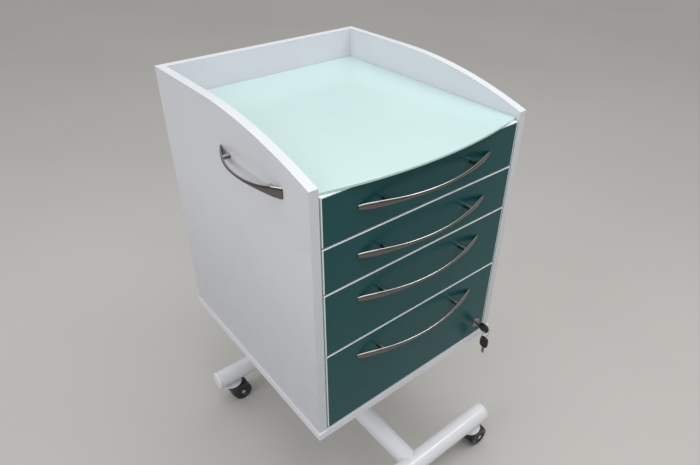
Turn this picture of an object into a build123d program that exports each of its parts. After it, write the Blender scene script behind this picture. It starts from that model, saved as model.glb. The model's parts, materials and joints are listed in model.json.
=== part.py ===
"""Mobile drawer cabinet for a treatment room, on a tubular H base with four twin-wheel castors.

Frame: millimetres, +Z up, the drawers open towards -Y.  The origin is on the floor, on the axis
of the support column, which is also the middle of the H base.
"""
import os
from math import sqrt

from build123d import *

# ---------------------------------------------------------------- driving dimensions: cabinet
BOARD = 16.0                    # laminated board, all carcass panels and drawer fronts
EDGE_BAND = 2.0                 # thick edge banding on the top and sides of drawer fronts
CARCASS_BAND = 1.0              # thin edge banding on the carcass
WIDTH = 460.0                   # over the two side panels
DEPTH = 486.0                   # side panel, front edge to back edge
FRONT_Y = -220.0                # plane of the side panels' front edges and of the drawer fronts
CARCASS_Z = 365.0               # top face of the bottom panel
SIDE_BACK_HEIGHT = 550.0        # side panel at the back, above the bottom panel
SIDE_FRONT_DROP = 48.0          # how far the curved top edge falls towards the front
CURVE_LENGTH = 300.0            # length of the curved stretch, from the front edge
BOTTOM_LIP = 3.0                # bottom panel stands proud at the front and sides
GLASS_TOP_HEIGHT = 490.5        # glass surface above the bottom panel
GLASS_THICKNESS = 4.0
GLASS_GAP = 0.5                 # glass to side and back panels
GLASS_CORNER_SETBACK = 8.0      # front corners of the glass, behind the front plane
GLASS_BOW = 26.0                # how far the front edge bows out at the middle

# ---------------------------------------------------------------- drawers
FRONT_SIDE_GAP = 2.8            # drawer front to side panel
TOP_PANEL_SETBACK = 1.0         # top panel behind the drawer fronts
BOX_BOARD = 12.0
BOX_DEPTH = 400.0
BOX_BOTTOM_THICKNESS = 4.0
SLIDE_THICKNESS = 12.7          # side panel to drawer box
SLIDE_LENGTH = 398.0
SLIDE_FRONT_SETBACK = 2.0       # fixed rail starts behind the drawer front
SLIDE_SHEET = 1.2
# member: flanges' near and far edge and web's near face, measured from the side panel; half height
SLIDE_MEMBERS = {
    "fixed": (0.0, 9.5, 0.0, 22.5),
    "middle": (2.2, 11.2, 5.3, 18.2),
    "moving": (7.3, SLIDE_THICKNESS, SLIDE_THICKNESS - SLIDE_SHEET, 14.5),
}
HANDLE_BELOW_TOP = 39.5         # handle centre below the top of each drawer front
# number: front bottom, front top, box bottom, box height, slide centre, above the bottom panel
DRAWERS = {
    1: (402.6, 486.2, 411.0, 50.0, 436.0),
    2: (315.8, 399.6, 326.0, 50.0, 351.0),
    3: (184.4, 312.8, 197.0, 90.0, 242.0),
    4: (3.0, 181.4, 46.0, 110.0, 101.0),
}

# ---------------------------------------------------------------- handles
BOW_THICKNESS = 4.0
POST_RADIUS = 4.5
CUT_MARGIN = 1.0                # cutting shapes run this far past the bar
DRAWER_HANDLE_CHORD = 300.0     # where the bar's outer face would meet the drawer front
DRAWER_HANDLE_REACH = 31.5
DRAWER_HANDLE_POSTS = 192.0
# half width at each distance from the middle; the bar ends at the last one
DRAWER_HANDLE_HALF_WIDTHS = [(0, 2.7), (50, 3.1), (75, 3.9), (100, 5.0), (125, 5.7), (138, 5.3), (146, 4.2)]
PUSH_HANDLE_CHORD = 194.0
PUSH_HANDLE_REACH = 27.0
PUSH_HANDLE_POSTS = 128.0
PUSH_HANDLE_HALF_WIDTHS = [(0, 2.9), (30, 3.5), (50, 4.8), (64, 6.4), (80, 8.8), (94, 9.8)]
PUSH_HANDLE_Y = -62.0
PUSH_HANDLE_HEIGHT = 470.5      # above the bottom panel

# ---------------------------------------------------------------- H base and column
TUBE_RADIUS = 22.5
TUBE_WALL = 2.0
TUBE_AXIS_Z = 89.5
CROSS_TUBE_Y = 246.7            # front and rear cross tubes lie at -Y and +Y
CROSS_TUBE_LENGTH = 460.0
CAP_THICKNESS = 6.0
CAP_ROUND = 4.5
CAP_PLUG_LENGTH = 10.0
COLUMN_RADIUS = 30.0
COLUMN_FOOT = 4.0               # closed foot, saddled over the spine tube
PLATE_SIZE = 200.0
PLATE_THICKNESS = 4.0
PLATE_CORNER = 12.0
SCREW_SPACING = 160.0
SCREW_RADIUS = 2.5
SCREW_HEAD_RADIUS = 5.5
SCREW_HEAD_HEIGHT = 3.0
SCREW_REACH = 13.0              # into the bottom panel

# ---------------------------------------------------------------- castors
CASTOR_X = 195.0
DISC_RADIUS = 26.0
DISC_BOTTOM_Z = 62.0
DISC_BOSS_RADIUS = 12.0
STEM_RADIUS = 4.0
STEM_BOTTOM_Z = 47.0
SOCKET_BOTTOM_Z = 46.0
STEM_TOP_Z = 76.0
RUNNING_CLEARANCE = 0.05
WHEEL_RADIUS = 25.0
WHEEL_INNER_Y = 4.3
WHEEL_OUTER_Y = 22.0
WHEEL_ROUND = 2.5
HUB_RECESS_RADIUS = 16.0
HUB_RECESS_DEPTH = 2.5
AXLE_RADIUS = 3.0
AXLE_CAP_RADIUS = 5.5
HUB_RADIUS = 7.5
AXLE_CAP_THICKNESS = 1.0
TRAIL = 20.0                    # wheel axle behind the swivel axis
WEB_HALF_THICKNESS = 3.5
WEB_RADIUS = 21.0
WEB_TOP_RADIUS = 28.5           # up inside the hood
HOOD_OUTER_RADIUS = 29.5
HOOD_INNER_RADIUS = 26.5
HOOD_HALF_WIDTH = 21.5
HOOD_BACK = 15.0                # the hood ends this far behind the wheel axle
BOSS_RADIUS = 9.5
BOSS_TOP_Z = 61.6
BOSS_BOTTOM_Z = 42.0

# ---------------------------------------------------------------- lock and keys
LOCK_X = 186.5
LOCK_HEIGHT = 31.0              # above the bottom panel
LOCK_BARREL_RADIUS = 9.0
LOCK_FLANGE_RADIUS = 11.0
LOCK_FLANGE_THICKNESS = 2.0
LOCK_BARREL_LENGTH = 23.0
PLUG_RADIUS = 5.0
CAM_LENGTH = 24.0
CAM_WIDTH = 12.0
CAM_THICKNESS = 2.5
CAM_GAP = 1.0
STRIKE_THICKNESS = 2.0
STRIKE_HEIGHT = 12.0
STRIKE_WIDTH = 24.0
STRIKE_FOOT = 16.0
STRIKE_PLAY = 1.5               # between the strike plate and the locked cam
KEY_BLADE_THICKNESS = 1.8
KEY_BLADE_WIDTH = 7.0
KEY_BLADE_INSIDE = 16.0
KEY_BLADE_OUTSIDE = 10.0
KEY_HEAD_LENGTH = 23.0
KEY_HEAD_WIDTH = 20.0
KEY_HEAD_THICKNESS = 5.0
KEY_CORNER_SHARE = 0.28         # corner radius of a key head, as a share of its width
KEY_HOLE_RADIUS = 3.0
KEY_HOLE_INSET = 5.5
SPARE_HEAD_LENGTH = 28.0
SPARE_BLADE_LENGTH = 18.0
RING_RADIUS = 12.5
RING_WIRE_RADIUS = 0.7
RING_TO_HOLE_CENTRE = 1.6       # the ring's wire hangs this far below the middle of the key's hole
SPARE_TO_RING = 1.7             # the spare key's hole centre hangs this far below the wire

# ---------------------------------------------------------------- derived places
HALF_WIDTH = WIDTH / 2
INNER_X = HALF_WIDTH - BOARD
BACK_Y = FRONT_Y + DEPTH
BACK_INNER_Y = BACK_Y - BOARD
FRONT_INNER_Y = FRONT_Y + BOARD
PANEL_TOP_Z = CARCASS_Z + SIDE_BACK_HEIGHT
GLASS_TOP_Z = CARCASS_Z + GLASS_TOP_HEIGHT
GLASS_BOTTOM_Z = GLASS_TOP_Z - GLASS_THICKNESS
BOX_HALF_WIDTH = INNER_X - SLIDE_THICKNESS
CURVE_RADIUS = (CURVE_LENGTH**2 + SIDE_FRONT_DROP**2) / (2 * SIDE_FRONT_DROP)
LOCK_Z = CARCASS_Z + LOCK_HEIGHT

os.makedirs("parts", exist_ok=True)


def block(x_range, y_range, z_range):
    """A box between two limits along each axis."""
    spans = [sorted(limits) for limits in (x_range, y_range, z_range)]
    centre = [(low + high) / 2 for low, high in spans]
    size = [high - low for low, high in spans]
    return Pos(*centre) * Box(*size)


def rod_x(radius, x_range, y, z):
    """A cylinder along X."""
    low, high = sorted(x_range)
    return Pos((low + high) / 2, y, z) * Rot(0, 90, 0) * Cylinder(radius, high - low)


def rod_y(radius, y_range, x, z):
    """A cylinder along Y."""
    low, high = sorted(y_range)
    return Pos(x, (low + high) / 2, z) * Rot(90, 0, 0) * Cylinder(radius, high - low)


def rod_z(radius, z_range, x, y):
    """A cylinder along Z."""
    low, high = sorted(z_range)
    return Pos(x, y, (low + high) / 2) * Cylinder(radius, high - low)


def write(name, *pieces):
    """Write the pieces of one node as separate solids of one STEP file."""
    solids = [solid for piece in pieces for solid in piece.solids()]
    shape = solids[0] if len(solids) == 1 else Compound(solids)
    export_step(shape, f"parts/{name}.step")


# ---------------------------------------------------------------- carcass
def side_outline(inset):
    """Side panel outline in the YZ plane, with its front and top edges moved inwards."""
    front = FRONT_Y + inset
    curve_end = FRONT_Y + CURVE_LENGTH
    centre_z = PANEL_TOP_Z - CURVE_RADIUS
    radius = CURVE_RADIUS - inset

    def on_curve(y):
        return (y, centre_z + sqrt(radius**2 - (curve_end - y) ** 2))

    start, middle, end = on_curve(front), on_curve((front + curve_end) / 2), on_curve(curve_end)
    edges = [
        Line((BACK_Y, CARCASS_Z), (front, CARCASS_Z)),
        Line((front, CARCASS_Z), start),
        ThreePointArc(start, middle, end),
        Line(end, (BACK_Y, PANEL_TOP_Z - inset)),
        Line((BACK_Y, PANEL_TOP_Z - inset), (BACK_Y, CARCASS_Z)),
    ]
    return make_face(Curve() + edges)


def side_slab(side, inset):
    """The outline as a slab one board thick, on the left (-1) or right (+1)."""
    inner = side * INNER_X
    return Pos(inner, 0, 0) * extrude(Plane.YZ * side_outline(inset), amount=side * BOARD)


def carcass():
    for name, side in (("left_side_panel", -1), ("right_side_panel", 1)):
        write(name, side_slab(side, CARCASS_BAND))
    bands = [side_slab(side, 0) - side_slab(side, CARCASS_BAND) for side in (-1, 1)]
    back_top = PANEL_TOP_Z - CARCASS_BAND
    bands.append(block((-INNER_X, INNER_X), (BACK_INNER_Y, BACK_Y), (back_top, PANEL_TOP_Z)))
    write("carcass_edging", *bands)
    write("back_panel", block((-INNER_X, INNER_X), (BACK_INNER_Y, BACK_Y), (CARCASS_Z, back_top)))
    top_y = (FRONT_INNER_Y + TOP_PANEL_SETBACK, BACK_INNER_Y)
    top_panel = block((-INNER_X, INNER_X), top_y, (GLASS_BOTTOM_Z - BOARD, GLASS_BOTTOM_Z))
    write("top_panel", top_panel)
    lip_x = HALF_WIDTH + BOTTOM_LIP
    bottom = block((-lip_x, lip_x), (FRONT_Y - BOTTOM_LIP, BACK_Y), (CARCASS_Z - BOARD, CARCASS_Z))
    for x, y in plate_screw_places():
        bottom -= rod_z(SCREW_RADIUS, (CARCASS_Z - BOARD, CARCASS_Z - BOARD + SCREW_REACH), x, y)
    write("bottom_panel", bottom)


def glass():
    """Glass worktop with a bowed front edge, lying on the top panel."""
    half = INNER_X - GLASS_GAP
    corner_y = FRONT_Y + GLASS_CORNER_SETBACK
    back_y = BACK_INNER_Y - GLASS_GAP
    edges = [
        ThreePointArc((-half, corner_y), (0, corner_y - GLASS_BOW), (half, corner_y)),
        Line((half, corner_y), (half, back_y)),
        Line((half, back_y), (-half, back_y)),
        Line((-half, back_y), (-half, corner_y)),
    ]
    write("glass_top", Pos(0, 0, GLASS_BOTTOM_Z) * extrude(make_face(Curve() + edges), GLASS_THICKNESS))


# ---------------------------------------------------------------- handles
def bow_handle(chord, reach, posts, half_widths):
    """An arched bar that stands out towards -Y from the plane y = 0, with two screw posts."""
    outer = (chord**2 / 4 + reach**2) / (2 * reach)
    inner = outer - BOW_THICKNESS
    centre_y = outer - reach
    widest = max(width for _, width in half_widths)
    upper = [(-x, width) for x, width in reversed(half_widths)] + half_widths[1:]
    lower = [(x, -width) for x, width in reversed(upper)]
    outline = make_face(
        Curve() + [Spline(*upper), Line(upper[-1], lower[0]), Spline(*lower), Line(lower[-1], upper[0])]
    )
    front_view = extrude(Plane.XZ * outline, amount=reach + CUT_MARGIN)
    band = extrude(Pos(0, centre_y) * (Circle(outer) - Circle(inner)), amount=widest + CUT_MARGIN, both=True)
    bar = band & front_view
    for x in (-posts / 2, posts / 2):
        depth = sqrt(inner**2 - x**2) - centre_y
        bar += rod_y(POST_RADIUS, (-depth - BOW_THICKNESS / 2, 0), x, 0)
    return bar


def drawer_handle(front_top):
    bow = bow_handle(
        DRAWER_HANDLE_CHORD, DRAWER_HANDLE_REACH, DRAWER_HANDLE_POSTS, DRAWER_HANDLE_HALF_WIDTHS
    )
    return Pos(0, FRONT_Y, CARCASS_Z + front_top - HANDLE_BELOW_TOP) * bow


def push_handles():
    bow = bow_handle(PUSH_HANDLE_CHORD, PUSH_HANDLE_REACH, PUSH_HANDLE_POSTS, PUSH_HANDLE_HALF_WIDTHS)
    height = CARCASS_Z + PUSH_HANDLE_HEIGHT
    left = Pos(-HALF_WIDTH, PUSH_HANDLE_Y, height) * Rot(0, 0, -90) * bow
    right = Pos(HALF_WIDTH, PUSH_HANDLE_Y, height) * Rot(0, 0, 90) * bow
    write("push_handles", left, right)


# ---------------------------------------------------------------- telescopic slides
def slide_member(kind, side, height, y_range):
    """One rolled channel of a slide: a web and two flanges, on the left (-1) or right (+1)."""
    near, far, web, half = SLIDE_MEMBERS[kind]

    def across(low, high):
        return (side * (INNER_X - low), side * (INNER_X - high))

    member = block(across(web, web + SLIDE_SHEET), y_range, (height - half, height + half))
    for top in (height + half, height - half + SLIDE_SHEET):
        member += block(across(near, far), y_range, (top - SLIDE_SHEET, top))
    return member


# ---------------------------------------------------------------- drawers
def drawer(number):
    bottom, top, box_bottom, box_height, slide_height = DRAWERS[number]
    front_half = INNER_X - FRONT_SIDE_GAP
    y_front = (FRONT_Y, FRONT_INNER_Y)
    slab = block((-front_half, front_half), y_front, (CARCASS_Z + bottom, CARCASS_Z + top))
    core_half = front_half - EDGE_BAND
    core_z = (CARCASS_Z + bottom, CARCASS_Z + top - EDGE_BAND)
    core = block((-core_half, core_half), y_front, core_z)
    edging = slab - core
    if number == 4:
        core -= rod_y(LOCK_BARREL_RADIUS, y_front, LOCK_X, LOCK_Z)
    write(f"drawer_{number}_front", core)
    write(f"drawer_{number}_edging", edging)
    write(f"drawer_{number}_handle", drawer_handle(top))

    box_y = (FRONT_INNER_Y, FRONT_INNER_Y + BOX_DEPTH)
    low = CARCASS_Z + box_bottom
    box_z = (low, low + box_height)
    inner_half = BOX_HALF_WIDTH - BOX_BOARD
    boards = [block((side * BOX_HALF_WIDTH, side * inner_half), box_y, box_z) for side in (-1, 1)]
    ends = ((box_y[0], box_y[0] + BOX_BOARD), (box_y[1] - BOX_BOARD, box_y[1]))
    boards += [block((-inner_half, inner_half), y_range, box_z) for y_range in ends]
    write(f"drawer_{number}_box", *boards)
    floor = block((-inner_half, inner_half), (ends[0][1], ends[1][0]), (low, low + BOX_BOTTOM_THICKNESS))
    write(f"drawer_{number}_bottom", floor)

    height = CARCASS_Z + slide_height
    slide_front = FRONT_INNER_Y + SLIDE_FRONT_SETBACK
    y_range = (slide_front, slide_front + SLIDE_LENGTH)
    for kind, node in (("middle", "slide_middle"), ("moving", "slide_moving")):
        members = [slide_member(kind, side, height, y_range) for side in (-1, 1)]
        write(f"drawer_{number}_{node}", *members)
    return [slide_member("fixed", side, height, y_range) for side in (-1, 1)]


# ---------------------------------------------------------------- lock, keys and strike plate
def key_outline(length, width):
    """Key head outline with its blade end at the origin, pointing along +X."""
    return Pos(length / 2, 0) * RectangleRounded(length, width, width * KEY_CORNER_SHARE)


def lock():
    flange_y = FRONT_Y - LOCK_FLANGE_THICKNESS
    barrel_end = FRONT_Y + LOCK_BARREL_LENGTH
    barrel = rod_y(LOCK_FLANGE_RADIUS, (flange_y, FRONT_Y), LOCK_X, LOCK_Z)
    barrel += rod_y(LOCK_BARREL_RADIUS, (FRONT_Y, barrel_end), LOCK_X, LOCK_Z)
    barrel -= rod_y(PLUG_RADIUS + RUNNING_CLEARANCE, (flange_y, barrel_end), LOCK_X, LOCK_Z)
    write("lock_cylinder", barrel)

    cam_y = (barrel_end + CAM_GAP, barrel_end + CAM_GAP + CAM_THICKNESS)
    blade_half = KEY_BLADE_THICKNESS / 2
    blade_x = (LOCK_X - blade_half, LOCK_X + blade_half)
    blade_z = (LOCK_Z - KEY_BLADE_WIDTH / 2, LOCK_Z + KEY_BLADE_WIDTH / 2)
    blade_end = flange_y + KEY_BLADE_INSIDE
    blade_start = flange_y - KEY_BLADE_OUTSIDE
    plug = rod_y(PLUG_RADIUS, (flange_y, cam_y[0]), LOCK_X, LOCK_Z)
    plug -= block(blade_x, (flange_y, blade_end), blade_z)
    cam = rod_y(CAM_WIDTH / 2, cam_y, LOCK_X, LOCK_Z)
    cam += block(
        (LOCK_X, LOCK_X + CAM_LENGTH), cam_y, (LOCK_Z - CAM_WIDTH / 2, LOCK_Z + CAM_WIDTH / 2)
    )
    write("lock_plug_and_cam", plug, cam)

    half_head = KEY_HEAD_THICKNESS / 2
    head_plane = Plane(origin=(LOCK_X, blade_start, LOCK_Z), x_dir=(0, -1, 0), z_dir=(1, 0, 0))
    head = extrude(head_plane * key_outline(KEY_HEAD_LENGTH, KEY_HEAD_WIDTH), half_head, both=True)
    hole_y = blade_start - KEY_HEAD_LENGTH + KEY_HOLE_INSET
    head -= rod_x(KEY_HOLE_RADIUS, (LOCK_X - half_head, LOCK_X + half_head), hole_y, LOCK_Z)
    write("key", block(blade_x, (blade_start, blade_end), blade_z), head)

    wire_z = LOCK_Z - RING_TO_HOLE_CENTRE
    ring_plane = Plane(origin=(LOCK_X, hole_y, wire_z - RING_RADIUS), z_dir=(0, 1, 0))
    write("key_ring", ring_plane * Torus(RING_RADIUS, RING_WIRE_RADIUS))

    spare_hole_z = wire_z - 2 * RING_RADIUS - SPARE_TO_RING
    head_end_z = spare_hole_z + KEY_HOLE_INSET - SPARE_HEAD_LENGTH
    spare_plane = Plane(origin=(LOCK_X, hole_y, head_end_z), x_dir=(0, 0, 1), z_dir=(1, 0, 0))
    spare = extrude(spare_plane * key_outline(SPARE_HEAD_LENGTH, KEY_HEAD_WIDTH), half_head, both=True)
    spare -= rod_x(KEY_HOLE_RADIUS, (LOCK_X - half_head, LOCK_X + half_head), hole_y, spare_hole_z)
    spare_y = (hole_y - KEY_BLADE_WIDTH / 2, hole_y + KEY_BLADE_WIDTH / 2)
    write("spare_key", spare, block(blade_x, spare_y, (head_end_z - SPARE_BLADE_LENGTH, head_end_z)))


def strike_plate():
    """Small angle on the bottom panel, which the lowered cam stands behind."""
    cam_front = FRONT_Y + LOCK_BARREL_LENGTH + CAM_GAP
    face_y = (cam_front - STRIKE_PLAY - STRIKE_THICKNESS, cam_front - STRIKE_PLAY)
    x_range = (LOCK_X - STRIKE_WIDTH / 2, LOCK_X + STRIKE_WIDTH / 2)
    plate = block(x_range, face_y, (CARCASS_Z, CARCASS_Z + STRIKE_HEIGHT))
    foot_z = (CARCASS_Z, CARCASS_Z + STRIKE_THICKNESS)
    write("lock_strike_plate", plate + block(x_range, (face_y[0], face_y[0] + STRIKE_FOOT), foot_z))


# ---------------------------------------------------------------- H base
def plate_screw_places():
    half = SCREW_SPACING / 2
    return [(x, y) for x in (-half, half) for y in (-half, half)]


def castor_places():
    return {
        "front_left": (-CASTOR_X, -CROSS_TUBE_Y),
        "front_right": (CASTOR_X, -CROSS_TUBE_Y),
        "rear_left": (-CASTOR_X, CROSS_TUBE_Y),
        "rear_right": (CASTOR_X, CROSS_TUBE_Y),
    }


def base():
    bore = TUBE_RADIUS - TUBE_WALL
    half = CROSS_TUBE_LENGTH / 2
    for name, y in (("front_cross_tube", -CROSS_TUBE_Y), ("rear_cross_tube", CROSS_TUBE_Y)):
        tube = rod_x(TUBE_RADIUS, (-half, half), y, TUBE_AXIS_Z)
        tube -= rod_x(bore, (-half, half), y, TUBE_AXIS_Z)
        for x in (-CASTOR_X, CASTOR_X):
            tube -= rod_z(STEM_RADIUS, (DISC_BOTTOM_Z, STEM_TOP_Z), x, y)
        write(name, tube)

    spine_y = (-CROSS_TUBE_Y, CROSS_TUBE_Y)
    spine = rod_y(TUBE_RADIUS, spine_y, 0, TUBE_AXIS_Z) - rod_y(bore, spine_y, 0, TUBE_AXIS_Z)
    for y in spine_y:
        spine -= rod_x(TUBE_RADIUS, (-half, half), y, TUBE_AXIS_Z)
    write("spine_tube", spine)

    plate_top = CARCASS_Z - BOARD
    plate_bottom = plate_top - PLATE_THICKNESS
    column_z = (TUBE_AXIS_Z, plate_bottom)
    hollow_z = (TUBE_AXIS_Z + COLUMN_FOOT, plate_bottom)
    column = rod_z(COLUMN_RADIUS, column_z, 0, 0) - rod_z(COLUMN_RADIUS - TUBE_WALL, hollow_z, 0, 0)
    column -= rod_y(TUBE_RADIUS, spine_y, 0, TUBE_AXIS_Z)
    write("support_column", column)

    plate = extrude(RectangleRounded(PLATE_SIZE, PLATE_SIZE, PLATE_CORNER), PLATE_THICKNESS)
    plate = Pos(0, 0, plate_bottom) * plate
    screws = []
    for x, y in plate_screw_places():
        shank = rod_z(SCREW_RADIUS, (plate_bottom, plate_top + SCREW_REACH), x, y)
        plate -= shank
        head_z = (plate_bottom - SCREW_HEAD_HEIGHT, plate_bottom)
        screws.append(shank + rod_z(SCREW_HEAD_RADIUS, head_z, x, y))
    write("column_plate", plate)
    write("base_screws", *screws)

    caps = []
    for side in (-1, 1):
        for y in (-CROSS_TUBE_Y, CROSS_TUBE_Y):
            cap = rod_x(TUBE_RADIUS, (side * half, side * (half + CAP_THICKNESS)), y, TUBE_AXIS_Z)
            rim = cap.edges().filter_by(GeomType.CIRCLE).sort_by(Axis.X)[-1 if side > 0 else 0]
            cap = fillet(rim, CAP_ROUND)
            cap += rod_x(bore, (side * (half - CAP_PLUG_LENGTH), side * half), y, TUBE_AXIS_Z)
            caps.append(cap)
    write("tube_end_caps", *caps)

    discs = []
    stems = []
    for x, y in castor_places().values():
        tube_bottom = TUBE_AXIS_Z - TUBE_RADIUS
        disc = rod_z(DISC_RADIUS, (DISC_BOTTOM_Z, tube_bottom), x, y)
        disc += rod_z(DISC_BOSS_RADIUS, (tube_bottom, TUBE_AXIS_Z), x, y)
        disc -= rod_x(TUBE_RADIUS, (-half, half), y, TUBE_AXIS_Z)
        disc -= rod_z(STEM_RADIUS, (DISC_BOTTOM_Z, STEM_TOP_Z), x, y)
        discs.append(disc)
        stems.append(rod_z(STEM_RADIUS, (STEM_BOTTOM_Z, STEM_TOP_Z), x, y))
    write("castor_mount_discs", *discs)
    write("castor_stems", *stems)


# ---------------------------------------------------------------- castors
def castor_housing():
    """Hood, centre web and swivel socket, with the swivel axis on Z and the wheels trailing to +X."""
    hood_y = (-HOOD_HALF_WIDTH, HOOD_HALF_WIDTH)
    web_y = (-WEB_HALF_THICKNESS, WEB_HALF_THICKNESS)
    front_x = TRAIL - HOOD_OUTER_RADIUS
    hood_z = (WHEEL_RADIUS, WHEEL_RADIUS + HOOD_OUTER_RADIUS)
    ring = rod_y(HOOD_OUTER_RADIUS, hood_y, TRAIL, WHEEL_RADIUS)
    ring -= rod_y(HOOD_INNER_RADIUS, hood_y, TRAIL, WHEEL_RADIUS)
    hood = ring & block((front_x, TRAIL + HOOD_BACK), hood_y, hood_z)
    web = rod_y(WEB_TOP_RADIUS, web_y, TRAIL, WHEEL_RADIUS)
    web = web & block((front_x, TRAIL), web_y, hood_z)
    web += rod_y(WEB_RADIUS, web_y, TRAIL, WHEEL_RADIUS)
    boss = rod_z(BOSS_RADIUS, (BOSS_BOTTOM_Z, BOSS_TOP_Z), 0, 0)
    boss -= rod_y(HOOD_INNER_RADIUS, hood_y, TRAIL, WHEEL_RADIUS)
    housing = hood + web + boss
    housing -= rod_z(STEM_RADIUS + RUNNING_CLEARANCE, (SOCKET_BOTTOM_Z, BOSS_TOP_Z), 0, 0)
    housing -= rod_y(AXLE_RADIUS + RUNNING_CLEARANCE, web_y, TRAIL, WHEEL_RADIUS)
    return housing


def castor_wheels():
    """Two dished wheels and the axle that carries them."""
    pieces = []
    for side in (-1, 1):
        wheel_y = (side * WHEEL_INNER_Y, side * WHEEL_OUTER_Y)
        wheel = rod_y(WHEEL_RADIUS, wheel_y, TRAIL, WHEEL_RADIUS)
        rims = wheel.edges().filter_by(GeomType.CIRCLE)
        wheel = fillet(rims, WHEEL_ROUND)
        recess_y = (side * (WHEEL_OUTER_Y - HUB_RECESS_DEPTH), side * WHEEL_OUTER_Y)
        recess = rod_y(HUB_RECESS_RADIUS, recess_y, TRAIL, WHEEL_RADIUS)
        recess -= rod_y(HUB_RADIUS, recess_y, TRAIL, WHEEL_RADIUS)
        wheel -= recess
        wheel -= rod_y(AXLE_RADIUS, wheel_y, TRAIL, WHEEL_RADIUS)
        pieces.append(wheel)
    axle = rod_y(AXLE_RADIUS, (-WHEEL_OUTER_Y, WHEEL_OUTER_Y), TRAIL, WHEEL_RADIUS)
    for side in (-1, 1):
        cap_y = (side * WHEEL_OUTER_Y, side * (WHEEL_OUTER_Y + AXLE_CAP_THICKNESS))
        axle += rod_y(AXLE_CAP_RADIUS, cap_y, TRAIL, WHEEL_RADIUS)
    pieces.append(axle)
    return pieces


def castors():
    housing = castor_housing()
    wheels = castor_wheels()
    for corner, (x, y) in castor_places().items():
        write(f"castor_{corner}_housing", Pos(x, y, 0) * housing)
        write(f"castor_{corner}_wheels", *[Pos(x, y, 0) * piece for piece in wheels])


carcass()
glass()
push_handles()
fixed_rails = [rail for number in DRAWERS for rail in drawer(number)]
write("fixed_slide_rails", *fixed_rails)
lock()
strike_plate()
base()
castors()
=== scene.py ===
"""Looks of the mobile drawer cabinet: materials, fine pieces, light and camera around the CAD frame.

Metres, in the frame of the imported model: +Z up, the drawers open towards -Y.
"""

import json
from math import asin, copysign, cos, pi, radians, sin, sqrt

import bmesh
import bpy
from mathutils import Matrix, Vector


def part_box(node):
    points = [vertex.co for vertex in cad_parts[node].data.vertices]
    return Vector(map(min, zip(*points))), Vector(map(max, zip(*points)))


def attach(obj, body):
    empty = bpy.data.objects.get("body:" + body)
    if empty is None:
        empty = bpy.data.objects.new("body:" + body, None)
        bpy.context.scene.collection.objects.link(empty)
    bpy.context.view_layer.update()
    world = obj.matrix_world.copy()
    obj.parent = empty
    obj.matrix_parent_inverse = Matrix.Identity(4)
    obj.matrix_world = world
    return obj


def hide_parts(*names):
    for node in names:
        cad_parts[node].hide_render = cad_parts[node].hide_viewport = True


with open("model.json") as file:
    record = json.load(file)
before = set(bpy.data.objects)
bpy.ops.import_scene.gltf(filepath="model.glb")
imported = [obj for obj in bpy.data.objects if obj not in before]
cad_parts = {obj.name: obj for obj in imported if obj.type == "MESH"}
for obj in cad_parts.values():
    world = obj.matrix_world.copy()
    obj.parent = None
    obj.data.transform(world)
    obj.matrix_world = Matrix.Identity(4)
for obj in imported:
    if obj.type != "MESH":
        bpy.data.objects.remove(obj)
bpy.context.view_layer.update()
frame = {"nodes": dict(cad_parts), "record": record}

MM = 0.001

# ------------ camera
CAMERA_PLACE = (-0.582, -0.750, 1.231)
CAMERA_AZIMUTH = radians(38.49)      # from +Y towards +X
CAMERA_TILT = radians(33.96)         # below the horizon
CAMERA_LENS = 28.69                  # mm, on a 36 mm wide sensor

# ------------ colours (linear)
WHITE_LAMINATE = (0.70, 0.705, 0.745)
WHITE_EDGING = (0.66, 0.69, 0.72)
# the drawer banding: a lighter copy of the white edging, its extra brightness painted light
DRAWER_EDGING_PAINTED_LIT = (0.79, 0.85, 0.865)
TEAL = (0.006, 0.070, 0.077)
MINT = (0.53, 0.69, 0.67)
MINT_EDGE = (0.50, 0.71, 0.66)
# Chrome colours are painted reflection: the dark tone of a room on faces that look outwards, a painted
# highlight on faces that look up, a lighter painted reflection on faces that look down.
CHROME = (0.175, 0.160, 0.145)
CHROME_PAINTED_HIGHLIGHT = (0.52, 0.51, 0.50)
CHROME_PAINTED_UNDER_REFLECTION = (0.30, 0.28, 0.26)
NICKEL = (0.30, 0.285, 0.265)
ZINC = (0.60, 0.61, 0.63)
POWDER_WHITE = (0.72, 0.725, 0.75)
CAP_WHITE = (0.74, 0.745, 0.77)
BLACK_NYLON = (0.014, 0.014, 0.015)
BLACK_GLOSS = (0.008, 0.008, 0.009)
DUST = (0.20, 0.19, 0.17)
FLOOR = (0.50, 0.485, 0.46)


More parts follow.
